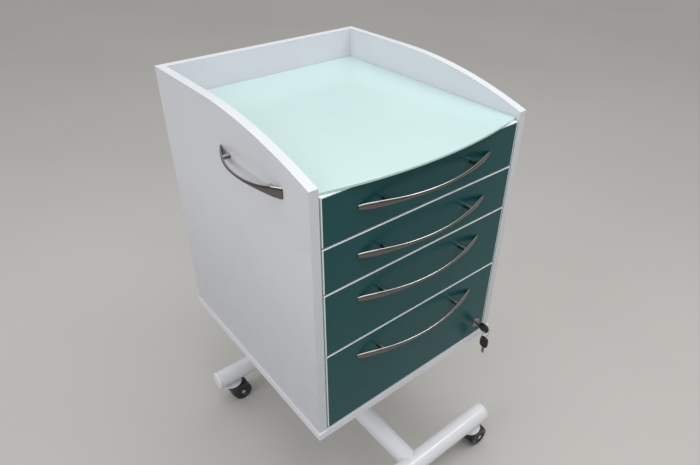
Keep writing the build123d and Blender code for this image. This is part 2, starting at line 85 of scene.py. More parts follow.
# ============ materials
class Shader:
    """One procedural material: a Principled shader and the nodes that feed it.

    Noise and cells take scales in features per metre; bumps take depths in metres.
    """

    def __init__(self, name, **constants):
        self.material = bpy.data.materials.new(name)
        self.material.use_nodes = True
        self.tree = self.material.node_tree
        self.shader = self.tree.nodes["Principled BSDF"]
        for socket, value in constants.items():
            self.shader.inputs[socket.replace("_", " ")].default_value = value
        self.coords = self.add("ShaderNodeTexCoord").outputs["Object"]
        self.height = None

    def add(self, kind, inputs=None, **settings):
        node = self.tree.nodes.new(kind)
        for key, value in settings.items():
            setattr(node, key, value)
        for key, value in (inputs or {}).items():
            self.put(node.inputs[key], value)
        return node

    def put(self, socket, value):
        if isinstance(value, bpy.types.NodeSocket):
            self.tree.links.new(value, socket)
        elif isinstance(value, tuple) and len(value) == 3 and socket.type == "RGBA":
            socket.default_value = (*value, 1.0)
        else:
            socket.default_value = value

    def noise(self, scale, detail=3.0, roughness=0.5, stretch=None, distortion=0.0):
        place = self.coords
        if stretch:
            place = self.add("ShaderNodeMapping", {"Vector": place, "Scale": stretch}).outputs["Vector"]
        inputs = {
            "Vector": place, "Scale": scale, "Detail": detail, "Roughness": roughness,
            "Distortion": distortion,
        }
        return self.add("ShaderNodeTexNoise", inputs).outputs["Fac"]

    def cells(self, scale):
        return self.add("ShaderNodeTexVoronoi", {"Vector": self.coords, "Scale": scale}).outputs["Distance"]

    def spread(self, value, low, high, to_low=0.0, to_high=1.0):
        """The value's stretch from low to high, as to_low to to_high, held at both ends."""
        inputs = {"Value": value, 1: low, 2: high, 3: to_low, 4: to_high}
        return self.add("ShaderNodeMapRange", inputs, interpolation_type="SMOOTHSTEP").outputs[0]

    def times(self, first, second):
        return self.add("ShaderNodeMath", {0: first, 1: second}, operation="MULTIPLY").outputs[0]

    def along(self, axis):
        return self.add("ShaderNodeSeparateXYZ", {0: self.coords}).outputs[axis]

    def attribute(self, name):
        return self.add("ShaderNodeAttribute", attribute_name=name).outputs["Fac"]

    def mix(self, amount, first, second):
        inputs = {0: amount, 6: first, 7: second}
        return self.add("ShaderNodeMix", inputs, data_type="RGBA").outputs[2]

    def mottled(self, colour, shade, scale, detail=3.0, low=0.4, high=0.7):
        """The colour, clouded towards a darker shade of itself."""
        return self.mix(self.spread(self.noise(scale, detail), low, high), colour, dim(colour, shade))

    def upward(self):
        """How far the surface faces up, from -1 to 1."""
        normal = self.add("ShaderNodeTexCoord").outputs["Normal"]
        return self.add("ShaderNodeSeparateXYZ", {0: normal}).outputs["Z"]

    def colour(self, value):
        self.put(self.shader.inputs["Base Color"], value)

    def rough(self, value):
        self.put(self.shader.inputs["Roughness"], value)

    def bump(self, height, depth):
        """Adds relief of the given depth in metres."""
        inputs = {"Height": height, "Distance": depth, "Strength": 1.0}
        if self.height:
            inputs["Normal"] = self.height
        self.height = self.add("ShaderNodeBump", inputs).outputs["Normal"]
        self.put(self.shader.inputs["Normal"], self.height)


def dim(colour, factor):
    return tuple(channel * factor for channel in colour)


def white_laminate():
    """Melamine-faced board: pearl texture, faint handling marks, and painted shade that darkens it towards
    the bottom, mottled by noise.
    """
    s = Shader("white_laminate", Specular_IOR_Level=0.45)
    marks = s.spread(s.noise(5.0, 4.0, 0.55, distortion=0.8), 0.52, 0.74)
    body = s.mottled(WHITE_LAMINATE, 0.965, 1.7, 2.0, 0.35, 0.65)
    height = s.along("Z")
    # painted shade: from z 0.80 down to z 0.365 the board darkens, with none below; noise mottles it
    low = s.times(s.spread(height, 0.36, 0.80, 0.8, 0.0), s.spread(height, 0.3650, 0.3655))
    dust_and_shade = s.spread(s.noise(26.0, 5.0, 0.6, stretch=(1, 1, 3)), 0.35, 0.75, 0.7, 1.0)
    clean = s.mix(marks, body, dim(WHITE_LAMINATE, 0.96))
    s.colour(s.mix(s.times(low, dust_and_shade), clean, dim(WHITE_LAMINATE, 0.70)))
    s.rough(s.spread(marks, 0.0, 1.0, 0.34, 0.46))
    s.bump(s.noise(520.0, 2.0), 0.00004)
    s.bump(s.noise(24.0, 1.0), 0.00003)
    return s.material


def white_edging():
    """Smooth plastic banding with faint milling marks along it, and painted shade that darkens it towards
    the bottom.
    """
    s = Shader("white_edging")
    body = s.mottled(WHITE_EDGING, 0.97, 9.0)
    # painted shade: darker from z 0.80 down to z 0.365 and below
    low = s.spread(s.along("Z"), 0.365, 0.80, 0.8, 0.0)
    s.colour(s.mix(low, body, dim(WHITE_EDGING, 0.84)))
    s.rough(s.spread(s.noise(60.0, 3.0), 0.3, 0.7, 0.30, 0.36))
    s.bump(s.noise(700.0, 2.0), 0.000012)
    return s.material


def drawer_edging_painted_lit():
    """A brighter, cooler copy of the white banding for the drawer fronts; its extra brightness is painted
    light.
    """
    s = Shader("drawer_edging_painted_lit")
    s.colour(s.mottled(DRAWER_EDGING_PAINTED_LIT, 0.96, 9.0))
    s.rough(s.spread(s.noise(60.0, 3.0), 0.3, 0.7, 0.24, 0.32))
    s.bump(s.noise(700.0, 2.0), 0.000012)
    return s.material


def teal_laminate():
    """Dark semi-gloss laminate with a trace of fine grain and finger marks."""
    s = Shader("teal_laminate", Specular_IOR_Level=0.24)
    cloud = s.spread(s.noise(3.5, 3.0, distortion=0.5), 0.35, 0.68)
    body = s.mix(cloud, TEAL, (0.008, 0.073, 0.076))
    specks = s.spread(s.noise(700.0, 2.0), 0.62, 0.80)
    s.colour(s.mix(specks, body, (0.014, 0.084, 0.088)))
    fingers = s.spread(s.noise(14.0, 4.0, 0.6, distortion=1.2), 0.50, 0.72)
    s.rough(s.spread(fingers, 0.0, 1.0, 0.26, 0.34))
    s.bump(s.noise(430.0, 2.0), 0.000006)
    return s.material


def mint_glass():
    """Clear float glass over a pale mint coat, greener at its ground edge."""
    s = Shader("mint_glass", Coat_Weight=0.6, Coat_Roughness=0.03, IOR=1.5)
    upward = s.upward()
    face = s.spread(s.noise(4.0, 3.0, distortion=0.4), 0.35, 0.7)
    pale = s.mix(face, MINT, (0.51, 0.68, 0.67))
    smears = s.spread(s.noise(9.0, 4.0, 0.6, stretch=(1, 2.2, 1), distortion=1.0), 0.52, 0.75)
    pale = s.mix(smears, pale, (0.545, 0.70, 0.68))
    s.colour(s.mix(s.spread(upward, 0.25, 0.8), MINT_EDGE, pale))
    s.rough(s.spread(smears, 0.0, 1.0, 0.30, 0.42))
    s.bump(s.noise(2.5, 1.0), 0.00015)
    return s.material


def chrome():
    """Plating with a haze of finger marks and hairline scratches; its colour is a painted reflection of a
    dark room, with a painted highlight on upward faces and a lighter painted reflection on downward faces.
    """
    s = Shader("chrome", Metallic=1.0)
    upward = s.upward()
    # painted reflection: lighter on upward faces, a lighter band again on downward faces, dark between
    painted_reflection_tone = s.mix(s.spread(upward, 0.25, 0.75), CHROME, CHROME_PAINTED_HIGHLIGHT)
    painted_reflection_tone = s.mix(s.spread(upward, -0.80, -0.35, 1.0, 0.0), painted_reflection_tone, CHROME_PAINTED_UNDER_REFLECTION)
    haze = s.spread(s.noise(45.0, 4.0, 0.6, distortion=0.6), 0.45, 0.72)
    s.colour(s.mix(s.times(haze, 0.12), painted_reflection_tone, DUST))
    scratches = s.spread(s.noise(900.0, 2.0, stretch=(0.04, 1, 1)), 0.55, 0.75)
    rough = {0: s.spread(haze, 0.0, 1.0, 0.04, 0.09), 1: s.times(scratches, 0.03)}
    s.rough(s.add("ShaderNodeMath", rough, operation="ADD").outputs[0])
    s.bump(s.noise(70.0, 2.0), 0.00001)
    return s.material


def nickel():
    """Warmer, duller plating of lock parts, rubbed where keys touch it."""
    s = Shader("nickel", Metallic=1.0)
    haze = s.spread(s.noise(240.0, 4.0, 0.6), 0.42, 0.70)
    s.colour(s.mix(haze, NICKEL, dim(NICKEL, 0.78)))
    s.rough(s.spread(haze, 0.0, 1.0, 0.14, 0.30))
    s.bump(s.noise(1500.0, 2.0), 0.00002)
    return s.material


def zinc_steel():
    """Bright zinc on rolled steel: drawn lines along the rails and faint spangle."""
    s = Shader("zinc_steel", Metallic=1.0)
    spangle = s.spread(s.cells(160.0), 0.1, 0.8)
    lines = s.noise(900.0, 3.0, stretch=(1, 0.02, 1))
    tint = s.mix(s.spread(s.noise(12.0, 3.0), 0.4, 0.65), ZINC, (0.62, 0.60, 0.53))
    s.colour(s.mix(spangle, tint, dim(ZINC, 0.95)))
    s.rough(s.spread(lines, 0.3, 0.7, 0.24, 0.40))
    s.bump(lines, 0.00002)
    return s.material


def white_powder_coat():
    """Glossy powder coat with orange peel, a few chips of dust low down."""
    s = Shader("white_powder_coat", Coat_Weight=0.5, Coat_Roughness=0.10)
    body = s.mottled(POWDER_WHITE, 0.98, 6.0)
    low = s.spread(s.along("Z"), 0.06, 0.10, 0.35, 0.0)
    dust_and_shade = s.spread(s.noise(60.0, 4.0, 0.65), 0.52, 0.75)
    s.colour(s.mix(s.times(low, dust_and_shade), body, DUST))
    s.rough(s.spread(s.noise(30.0, 4.0), 0.35, 0.7, 0.18, 0.24))
    s.bump(s.noise(330.0, 1.5), 0.000025)
    return s.material


def white_cap_plastic():
    """Moulded tube caps, slightly duller than the coated tubes."""
    s = Shader("white_cap_plastic")
    s.colour(s.mottled(CAP_WHITE, 0.92, 25.0, 4.0))
    s.rough(s.spread(s.noise(80.0, 3.0), 0.3, 0.7, 0.30, 0.44))
    s.bump(s.noise(1100.0, 2.0), 0.00003)
    return s.material


def black_castor_plastic():
    """Black nylon with moulding grain and dust in its low parts."""
    s = Shader("black_castor_plastic")
    low = s.spread(s.along("Z"), 0.004, 0.055, 0.55, 0.10)
    dust_and_shade = s.spread(s.noise(120.0, 5.0, 0.65), 0.45, 0.75)
    s.colour(s.mix(s.times(low, dust_and_shade), BLACK_NYLON, DUST))
    s.rough(s.spread(dust_and_shade, 0.0, 1.0, 0.30, 0.62))
    s.bump(s.noise(1300.0, 2.0), 0.00004)
    return s.material


def black_wheel_plastic():
    """Wheel nylon, greyed and scratched on its tread."""
    s = Shader("black_wheel_plastic")
    wear = s.attribute("wear")
    grit = s.spread(s.noise(300.0, 5.0, 0.7), 0.40, 0.75)
    worn = s.times(wear, s.spread(grit, 0.0, 1.0, 0.25, 0.95))
    s.colour(s.mix(worn, BLACK_NYLON, (0.085, 0.082, 0.076)))
    s.rough(s.spread(worn, 0.0, 1.0, 0.24, 0.66))
    s.bump(s.times(grit, worn), 0.00012)
    return s.material


def black_key_plastic():
    """Glossy moulded key heads, dulled by handling."""
    s = Shader("black_key_plastic")
    rub = s.spread(s.noise(170.0, 4.0, 0.6), 0.45, 0.72)
    s.colour(s.mix(rub, BLACK_GLOSS, dim(BLACK_GLOSS, 2.0)))
    s.rough(s.spread(rub, 0.0, 1.0, 0.20, 0.42))
    s.bump(s.noise(1600.0, 2.0), 0.00003)
    return s.material


def drawer_board():
    """White-faced drawer box board, a little duller than the carcass."""
    s = Shader("drawer_board", Specular_IOR_Level=0.4)
    s.colour(s.mottled(dim(WHITE_LAMINATE, 0.98), 0.94, 7.0, 4.0))
    s.rough(s.spread(s.noise(40.0, 3.0), 0.35, 0.7, 0.42, 0.55))
    s.bump(s.noise(420.0, 2.0), 0.00007)
    return s.material


def hardboard():
    """Lacquered hardboard drawer floor with a trace of fibre and handling marks."""
    s = Shader("hardboard", Specular_IOR_Level=0.35)
    fibre = s.spread(s.noise(260.0, 4.0, 0.7, stretch=(1, 0.35, 1)), 0.42, 0.72)
    marks = s.spread(s.noise(9.0, 4.0, 0.5), 0.50, 0.80)
    body = s.mix(fibre, dim(WHITE_LAMINATE, 0.95), dim(WHITE_LAMINATE, 0.90))
    s.colour(s.mix(marks, body, dim(WHITE_LAMINATE, 0.90)))
    s.rough(s.spread(fibre, 0.0, 1.0, 0.48, 0.60))
    s.bump(fibre, 0.00005)
    return s.material


MATERIALS = {
    make.__name__: make()
    for make in (
        white_laminate, white_edging, drawer_edging_painted_lit, teal_laminate, mint_glass, chrome, nickel, zinc_steel,
        white_powder_coat, white_cap_plastic, black_castor_plastic, black_wheel_plastic,
        black_key_plastic, drawer_board, hardboard,
    )
}
SLOT_OF = {part["node"]: part["material_slot"] for part in frame["record"]["subparts"]}
BODY_OF = {node: body for body, nodes in frame["record"]["behaviour"]["bodies"].items() for node in nodes}


# ============ mesh building
SHARP = radians(28)


class Shape:
    """Closed bodies gathered into one mesh."""

    def __init__(self):
        self.all = bmesh.new()
        self.all.verts.layers.float.new("wear")

    def take(self, part):
        """Adds a body and uses it up."""
        if part.verts.layers.float.get("wear") is None:
            part.verts.layers.float.new("wear")
        bmesh.ops.recalc_face_normals(part, faces=part.faces)
        mesh = bpy.data.meshes.new("part")
        part.to_mesh(mesh)
        part.free()
        self.all.from_mesh(mesh)
        bpy.data.meshes.remove(mesh)

    def box(self, low, high, bevel, segments):
        part = bmesh.new()
        size = Vector(high) - Vector(low)
        middle = (Vector(high) + Vector(low)) / 2
        place = Matrix.Translation(middle) @ Matrix.Diagonal((*size, 1.0))
        bmesh.ops.create_cube(part, size=1.0, matrix=place)
        round_edges(part, bevel, segments)
        self.take(part)

    def lathe(self, origin, direction, profile, steps, wear=None, ring=False):
        """Turns a profile of (radius, distance along direction) about the axis through origin.

        A ring's profile closes on itself, away from the axis.
        """
        part = bmesh.new()
        layer = part.verts.layers.float.new("wear")
        turn = Vector((0, 0, 1)).rotation_difference(Vector(direction)).to_matrix()
        rings = []
        for index, (radius, height) in enumerate(profile):
            places = range(steps) if radius > 0 else range(1)
            circle = []
            for step in places:
                angle = 2 * pi * step / steps
                point = turn @ Vector((radius * cos(angle), radius * sin(angle), height))
                vertex = part.verts.new(point + Vector(origin))
                vertex[layer] = wear[index] if wear else 0.0
                circle.append(vertex)
            rings.append(circle)
        for first, second in zip(rings, rings[1:] + (rings[:1] if ring else [])):
            join_rings(part, first, second)
        self.take(part)

    def prism(self, rings, width, segments=2, chosen=None):
        """A solid between two equal outlines, with its sharp edges rounded."""
        part = bmesh.new()
        loops = [[part.verts.new(point) for point in ring] for ring in rings]
        join_rings(part, *loops)
        part.faces.new(loops[0])
        part.faces.new(list(reversed(loops[1])))
        bmesh.ops.remove_doubles(part, verts=part.verts, dist=0.01 * MM)
        bmesh.ops.recalc_face_normals(part, faces=part.faces)
        round_edges(part, width, segments, chosen)
        self.take(part)

    def loft(self, rings, closed=False):
        """Joins rings of points, each a closed loop, with both ends capped unless the loft is closed."""
        part = bmesh.new()
        loops = [[part.verts.new(point) for point in ring] for ring in rings]
        for first, second in zip(loops, loops[1:] + loops[:1] if closed else loops[1:]):
            join_rings(part, first, second)
        if not closed:
            part.faces.new(loops[0])
            part.faces.new(list(reversed(loops[-1])))
        self.take(part)

    def tube(self, path, radius, steps, closed=False, ripple=0.0):
        """A round bead or wire along a path of points."""
        points = [Vector(point) for point in path]
        count = len(points)
        rings = []
        side = None
        for index, point in enumerate(points):
            before = points[index - 1] if index or closed else point
            after = points[(index + 1) % count] if index < count - 1 or closed else point
            ahead = (after - before).normalized()
            side = ahead.orthogonal() if side is None else side - ahead * side.dot(ahead)
            side.normalize()
            up = ahead.cross(side)
            size = radius * (1 + ripple * sin(index * 2.1))
            angles = (2 * pi * k / steps for k in range(steps))
            rings.append([point + size * (side * cos(a) + up * sin(a)) for a in angles])
        self.loft(rings, closed)


def join_rings(part, first, second):
    """Faces between two loops of as many points, or between a loop and a single point."""
    if len(first) == 1 and len(second) == 1:
        return
    count = max(len(first), len(second))
    for step in range(count):
        corners = [
            first[step % len(first)], first[(step + 1) % len(first)],
            second[(step + 1) % len(second)], second[step % len(second)],
        ]
        unique = [corner for index, corner in enumerate(corners) if corner not in corners[:index]]
        part.faces.new(unique)


def round_edges(part, width, segments=2, chosen=None):
    """Rounds the sharp edges that chosen accepts."""
    edges = [
        edge for edge in part.edges
        if len(edge.link_faces) == 2 and edge.calc_face_angle() > SHARP and (chosen is None or chosen(edge))
    ]
    bmesh.ops.bevel(
        part, geom=edges, offset=width, offset_type="OFFSET", segments=segments, profile=0.5,
        affect="EDGES", clamp_overlap=True,
    )


def cad_copy(node):
    """The CAD node's own surface as one welded mesh with its flat faces whole."""
    part = bmesh.new()
    part.from_mesh(frame["nodes"][node].data)
    bmesh.ops.remove_doubles(part, verts=part.verts, dist=1e-6)
    bmesh.ops.dissolve_limit(part, angle_limit=radians(0.5), verts=part.verts, edges=part.edges)
    return part


def show(name, shape, slot, body, nodes=(), look=None):
    """Makes the gathered mesh a piece that rides on a body, in place of the given CAD nodes.

    Its material is the slot's own, unless look names another.
    """
    mesh = bpy.data.meshes.new(name)
    for face in shape.all.faces:
        face.smooth = True
    for edge in shape.all.edges:
        edge.smooth = len(edge.link_faces) == 2 and edge.calc_face_angle() < SHARP
    shape.all.to_mesh(mesh)
    shape.all.free()
    piece = bpy.data.objects.new(name, mesh)
    bpy.context.scene.collection.objects.link(piece)
    mesh.materials.append(MATERIALS[look or slot])
    weights = piece.modifiers.new("even_shading", "WEIGHTED_NORMAL")
    weights.keep_sharp = True
    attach(piece, body)
    if nodes:
        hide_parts(*nodes)


def refine(node, width, segments=2, chosen=None, look=None):
    """Shows a CAD node with rounded edges."""
    part = cad_copy(node)
    round_edges(part, width, segments, chosen)
    shape = Shape()
    shape.take(part)
    show(node + "_shown", shape, SLOT_OF[node], BODY_OF[node], [node], look)


# ============ carcass
def carcass():
    for node in ("left_side_panel", "right_side_panel", "back_panel", "top_panel"):
        refine(node, 0.12 * MM, 1)
    refine("carcass_edging", 0.35 * MM)
    refine("bottom_panel", 0.5 * MM)
    refine("glass_top", 0.6 * MM, 3)


# ============ handles
BOW_THICKNESS = 4.0 * MM
DRAWER_CHORD = 300 * MM         # where a bar's outer face would meet the surface behind it
PUSH_CHORD = 194 * MM
DRAWER_POSTS = 192 * MM
PUSH_POSTS = 128 * MM
POST_RADIUS = 4.5 * MM
POST_COLLAR = 0.6 * MM          # the post is this much thinner where it meets the bar
POST_CONE = (0.62, 0.8)         # where it narrows, as shares of its length
BOW_TIP = 0.7 * MM
BOW_TIP_SIZE = 0.86             # the bar's section at its very end, as a share of the full one
DRAWER_HALF_WIDTHS = ((0, 2.7), (50, 3.1), (75, 3.9), (100, 5.0), (125, 5.7), (138, 5.3), (146, 4.2))
PUSH_HALF_WIDTHS = ((0, 2.9), (30, 3.5), (50, 4.8), (64, 6.4), (80, 8.8), (94, 9.8))


def smooth_value(points, x):
    """A smooth curve through (place, value) points, read at x."""
    places, values = zip(*points)
    x = min(max(x, places[0]), places[-1])
    right = next(index for index, place in enumerate(places) if place >= x and index > 0)
    left = right - 1

    def slope(index):
        if index == 0:
            return 0.0
        last = min(index + 1, len(places) - 1)
        return (values[last] - values[index - 1]) / (places[last] - places[index - 1])

    span = places[right] - places[left]
    t = (x - places[left]) / span
    return (
        (2 * t**3 - 3 * t**2 + 1) * values[left] + (t**3 - 2 * t**2 + t) * span * slope(left)
        + (3 * t**2 - 2 * t**3) * values[right] + (t**3 - t**2) * span * slope(right)
    )


def bow(shape, place, chord, posts, half_widths, low, high):
    """A bow handle in the box low..high, measured in a frame where the bow stands out towards -Y."""
    reach = high[1] - low[1]
    radius = (chord**2 / 4 + reach**2) / (2 * reach)
    middle_x = (low[0] + high[0]) / 2
    middle_z = (low[2] + high[2]) / 2
    base_y = high[1]
    full_angle = asin((high[0] - low[0]) / 2 / radius)
    turns = [2 * pi * k / 28 for k in range(28)]
    stations = 72
    rings = []
    for index in range(stations + 1):
        share = -1 + 2 * index / stations
        angle = full_angle * share
        from_end = (full_angle - abs(angle)) * radius
        x = radius * sin(angle)
        half = smooth_value(half_widths, abs(x) / MM) * MM
        end = min(1.0, from_end / BOW_TIP)
        squeeze = BOW_TIP_SIZE + (1 - BOW_TIP_SIZE) * sqrt(1 - (1 - end) ** 2)
        centre = Vector((middle_x + x, base_y - reach + radius - radius * cos(angle), middle_z))
        outward = Vector((sin(angle), -cos(angle), 0))
        ring = []
        for turn in turns:
            out = BOW_THICKNESS / 2 * (squeeze * cos(turn) - 1)
            across = Vector((0, 0, half * squeeze * sin(turn)))
            ring.append(place @ (centre + outward * out + across))
        rings.append(ring)
    shape.loft(rings)
    inner = radius - BOW_THICKNESS / 2
    for side in (-1, 1):
        x = side * posts / 2
        depth = sqrt(inner**2 - x**2) - (radius - reach)
        foot = place @ Vector((middle_x + x, base_y, middle_z))
        ahead = place.to_3x3() @ Vector((0, -1, 0))
        neck = POST_RADIUS - POST_COLLAR
        cone_start, cone_end = (share * depth for share in POST_CONE)
        profile = [(0, 0), (POST_RADIUS, 0), (POST_RADIUS, cone_start)]
        profile += [(neck, cone_end), (neck, depth), (0, depth)]
        shape.lathe(foot, ahead, profile, 40)


def handles():
    for number in (1, 2, 3, 4):
        node = f"drawer_{number}_handle"
        low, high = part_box(node)
        shape = Shape()
        bow(shape, Matrix.Identity(4), DRAWER_CHORD, DRAWER_POSTS, DRAWER_HALF_WIDTHS, low, high)
        show(node + "_bow", shape, "chrome", BODY_OF[node], [node])
    low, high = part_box("push_handles")
    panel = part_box("left_side_panel")[0].x
    shape = Shape()
    for side in (-1, 1):
        turn = Matrix.Rotation(side * pi / 2, 4, "Z")
        back = turn.inverted()
        corner = Vector((side * high.x, low.y, low.z))
        opposite = Vector((-side * panel, high.y, high.z))
        first, second = back @ corner, back @ opposite
        box_low = [min(pair) for pair in zip(first, second)]
        box_high = [max(pair) for pair in zip(first, second)]
        bow(shape, turn, PUSH_CHORD, PUSH_POSTS, PUSH_HALF_WIDTHS, box_low, box_high)
    show("push_handle_bows", shape, "chrome", "cabinet", ["push_handles"])


# ============ screws
def cross_screw(shape, place, direction, radius, height, shank_radius=0.0, shank=0.0):
    """A pan head with a cross recess, its head towards direction, and a shank the other way."""
    steps = 48
    turn = Vector((0, 0, 1)).rotation_difference(Vector(direction)).to_matrix()

    def ring(size, rise, lobes=0.0):
        points = []
        for step in range(steps):
            angle = 2 * pi * step / steps
            reach = size * (1 - lobes + lobes * abs(cos(2 * angle)) ** 2.5)
            points.append(turn @ Vector((reach * cos(angle), reach * sin(angle), rise)) + Vector(place))
        return points

    rings = []
    if shank:
        rings += [ring(shank_radius * 0.7, -shank), ring(shank_radius, -shank + shank_radius)]
        rings += [ring(shank_radius, -0.2 * MM)]
    rings += [ring(radius, 0.0), ring(radius, 0.35 * height), ring(0.92 * radius, 0.75 * height)]
    rings += [ring(0.74 * radius, 0.96 * height), ring(0.58 * radius, height, 0.55)]
    rings += [ring(0.50 * radius, 0.86 * height, 0.60), ring(0.34 * radius, 0.35 * height, 0.60)]
    shape.loft(rings)


# ============ drawers
BOX_BOARD_ROUND = 1.2 * MM
HANDLE_SCREW_RADIUS = 3.9 * MM
HANDLE_SCREW_HEIGHT = 2.3 * MM


def box_boards(low, high, board):
    """The four boards of a drawer box in the box low..high: two sides, front and back between them."""
    inner_left, inner_right = low.x + board, high.x - board
    return [
        ((low.x, low.y, low.z), (inner_left, high.y, high.z)),
        ((inner_right, low.y, low.z), (high.x, high.y, high.z)),
        ((inner_left, low.y, low.z), (inner_right, low.y + board, high.z)),
        ((inner_left, high.y - board, low.z), (inner_right, high.y, high.z)),
    ]


def drawers():
    for number in (1, 2, 3, 4):
        node = f"drawer_{number}_edging"
        body = BODY_OF[node]
        low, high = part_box(node)

        def outer(edge, low=low, high=high):
            middle = (edge.verts[0].co + edge.verts[1].co) / 2
            sides = (middle.x - low.x, middle.x - high.x, middle.z - low.z, middle.z - high.z)
            return min(abs(side) for side in sides) < 0.01 * MM

        refine(f"drawer_{number}_front", 0.10 * MM, 1)
        refine(node, 0.8 * MM, 3, outer, "drawer_edging_painted_lit")

        box_low, box_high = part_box(f"drawer_{number}_box")
        floor_low, floor_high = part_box(f"drawer_{number}_bottom")
        board = floor_low.x - box_low.x
        shape = Shape()
        for corner, opposite in box_boards(box_low, box_high, board):
            shape.box(corner, opposite, BOX_BOARD_ROUND, 3)
        show(f"drawer_{number}_box_boards", shape, "drawer_board", body, [f"drawer_{number}_box"])
        shape = Shape()
        shape.box(floor_low, floor_high, 0.15 * MM, 1)
        show(f"drawer_{number}_floor", shape, "hardboard", body, [f"drawer_{number}_bottom"])

        handle_low, handle_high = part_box(f"drawer_{number}_handle")
        shape = Shape()
        for x in (-DRAWER_POSTS / 2, DRAWER_POSTS / 2):
            place = (x, box_low.y + board, (handle_low.z + handle_high.z) / 2)
            cross_screw(shape, place, (0, 1, 0), HANDLE_SCREW_RADIUS, HANDLE_SCREW_HEIGHT)
        show(f"drawer_{number}_handle_screws", shape, "zinc_steel", body)


# ============ telescopic slides
SLIDE_SHEET = 1.2 * MM
SLIDE_EDGE_ROUND = 0.3 * MM
RAIL_SCREW_RADIUS = 3.2 * MM
RAIL_SCREW_HEIGHT = 1.5 * MM
RACE_INSET = 2.4 * MM               # balls' middle inwards of the middle member's near edge
BALL_RADIUS = 1.45 * MM
BALLS = 10
BALL_STEP = 9 * MM
BALLS_FROM_BACK = 150 * MM
RAIL_SCREWS = (0.12, 0.5, 0.88)     # along the rail, as shares of its length


def channel(shape, side, near, far, web, half, y_range, middle_z):
    """A rolled channel: flanges from near to far and a web, measured inwards from the side panel."""
    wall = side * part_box("right_side_panel")[0].x
    left, right = sorted(wall - side * distance for distance in (near, far))
    web_left, web_right = sorted(wall - side * distance for distance in (web, web + SLIDE_SHEET))
    inner = half - SLIDE_SHEET
    rightwards = [(right, half), (right, inner), (web_right, inner)]
    leftwards = [(left, half), (left, inner), (web_left, inner)]
    outline = leftwards[:1] + rightwards + [(x, -z) for x, z in reversed(rightwards)]
    outline += [(x, -z) for x, z in leftwards] + leftwards[:0:-1]
    kept = [point for index, point in enumerate(outline) if point != outline[index - 1]]
    shape.prism([[(x, y, middle_z + z) for x, z in kept] for y in y_range], SLIDE_EDGE_ROUND)


# member: flanges' near and far edge and web's near face, from the side panel; half height
SLIDE_MEMBERS = {
    "fixed": (0.0, 9.5, 0.0, 22.5),
    "middle": (2.2, 11.2, 5.3, 18.2),
    "moving": (7.3, 12.7, 11.5, 14.5),
}


def slide_members(shape, kind, y_range, middle_z):
    near, far, web, half = (value * MM for value in SLIDE_MEMBERS[kind])
    for side in (-1, 1):
        channel(shape, side, near, far, web, half, y_range, middle_z)


def ball_races(shape, y_range, middle_z):
    """Steel balls above and below the middle member, where it stays inside the fixed rail."""
    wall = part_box("right_side_panel")[0].x
    half = SLIDE_MEMBERS["middle"][3] * MM
    race_x = SLIDE_MEMBERS["middle"][0] * MM + RACE_INSET
    first = y_range[1] - BALLS_FROM_BACK
    sphere = [(BALL_RADIUS * sin(pi * k / 8), -BALL_RADIUS * cos(pi * k / 8)) for k in range(1, 8)]
    profile = [(0, -BALL_RADIUS)] + sphere + [(0, BALL_RADIUS)]
    for side in (-1, 1):
        x = side * (wall - race_x)
        for z in (middle_z - half - BALL_RADIUS, middle_z + half + BALL_RADIUS):
            for index in range(BALLS):
                shape.lathe((x, first + index * BALL_STEP, z), (0, 1, 0), profile, 14)


def slides():
    rails = Shape()
    screws = Shape()
    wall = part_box("right_side_panel")[0].x
    for number in (1, 2, 3, 4):
        low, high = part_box(f"drawer_{number}_slide_middle")
        y_range = (low.y, high.y)
        middle_z = (low.z + high.z) / 2
        slide_members(rails, "fixed", y_range, middle_z)
        for side in (-1, 1):
            for share in RAIL_SCREWS:
                place = (side * (wall - SLIDE_SHEET), low.y + share * (high.y - low.y), middle_z)
                cross_screw(screws, place, (-side, 0, 0), RAIL_SCREW_RADIUS, RAIL_SCREW_HEIGHT)
        for kind in ("middle", "moving"):
            members = Shape()
            slide_members(members, kind, y_range, middle_z)
            if kind == "middle":
                ball_races(members, y_range, middle_z)
            node = f"drawer_{number}_slide_{kind}"
            show(node + "_members", members, "zinc_steel", BODY_OF[node], [node])
    show("fixed_rail_members", rails, "zinc_steel", "cabinet", ["fixed_slide_rails"])
    show("fixed_rail_screws", screws, "zinc_steel", "cabinet")


# ============ lock and keys
LOCK_AXIS = (0, -1, 0)
LOCK_FLANGE_OVERHANG = 2 * MM
LOCK_FLANGE_THICKNESS = 2 * MM
PLUG_RADIUS = 5 * MM
PLUG_GAP = 0.05 * MM
PLUG_SINK = 0.45 * MM               # the plug's face lies this far behind the barrel's rim
KEYWAY_HALF = 1.1 * MM
KEYWAY_HALF_HEIGHT = 3.5 * MM
KEYWAY_DEPTH = 14 * MM
CAM_THICKNESS = 2.5 * MM
CAM_HALF = 6 * MM
CAM_CORNER = 2.5 * MM
KEY_HEAD = 23 * MM
SPARE_HEAD = 28 * MM
KEY_HEAD_ROUND = 1.5 * MM
KEY_RECESS = 0.55 * MM
KEY_HOLE_INSET = 5.5 * MM
KEY_HOLE_RADIUS = 3.0 * MM
KEY_BLADE_THICKNESS = 1.8 * MM
KEY_BLADE_WIDTH = 7 * MM
KEY_NECK = 3 * MM                   # how far a blade starts inside its head
KEY_IN_LOCK = 15 * MM
KEY_TOOTH = 2.2 * MM
KEY_CUTS = (0.9, 1.6, 0.6, 1.9, 1.2, 0.5, 1.5, 1.0, 1.8, 0.7)
RING_TURNS = 1.92
RING_POINTS = 150


